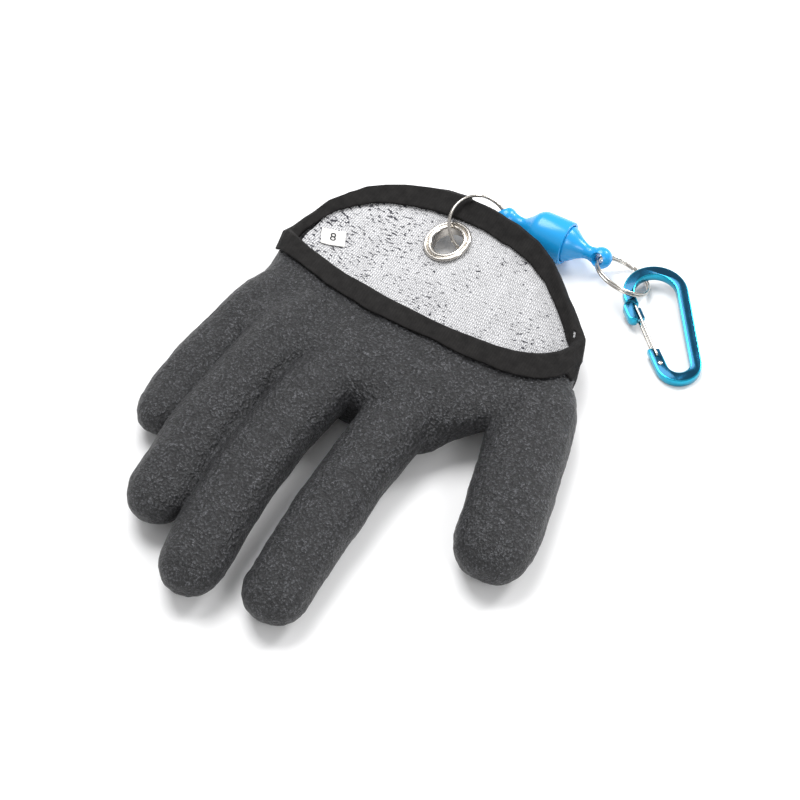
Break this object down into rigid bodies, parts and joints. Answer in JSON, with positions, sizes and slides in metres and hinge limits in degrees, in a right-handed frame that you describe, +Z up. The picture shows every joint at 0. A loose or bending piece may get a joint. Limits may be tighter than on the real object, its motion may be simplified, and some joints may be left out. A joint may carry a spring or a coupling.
{
  "type": "fishing glove with magnetic release and clip",
  "caption": "Latex-dipped knitted fishing glove lying palm up, with a bound cuff flap, an eyelet, a magnetic release on split rings and a small wire-gate clip.",
  "frame": {"origin": "middle of the base of the whole, on the surface it lies on", "axes": "+Z up from the surface, +Y from the fingertips towards the cuff, +X towards the thumb"},
  "size_m": [0.1634, 0.2218, 0.0256],
  "materials": {
    "latex": "crinkled matt latex",
    "knit": "undyed knit with dark flecks",
    "tape": "matt woven tape",
    "label": "woven satin",
    "steel": "nickel plated",
    "release_blue": "glossy lacquer",
    "anodised": "anodised, bright",
    "magnet": "plated magnet"
  },
  "bodies": {
    "glove": {"latex_shell": "latex", "knit_liner": "knit", "cuff_binding": "tape", "size_label": "label", "grommet_eyelet": "steel", "grommet_washer": "steel", "inner_split_ring": "steel", "release_cup": "release_blue", "release_cup_magnet": "magnet"},
    "release_outer": {"release_plug": "release_blue", "release_plug_magnet": "magnet", "outer_split_ring": "steel", "carabiner_frame": "anodised", "carabiner_rivet": "steel"},
    "gate": {"wire_gate": "steel"}
  },
  "joints": [
    {"name": "release_slide", "type": "slide", "parent": "glove", "child": "release_outer", "axis": [0.999, 0.0436, 0], "range_m": [0, 0.006]},
    {"name": "gate_hinge", "type": "hinge", "parent": "release_outer", "child": "gate", "pos_m": [0.0647, 0.07355, 0.00274], "axis": [-0.0509, 0.0527, -0.9973], "range_deg": [0, 38], "stiffness_Nm_per_rad": 0.01}
  ]
}
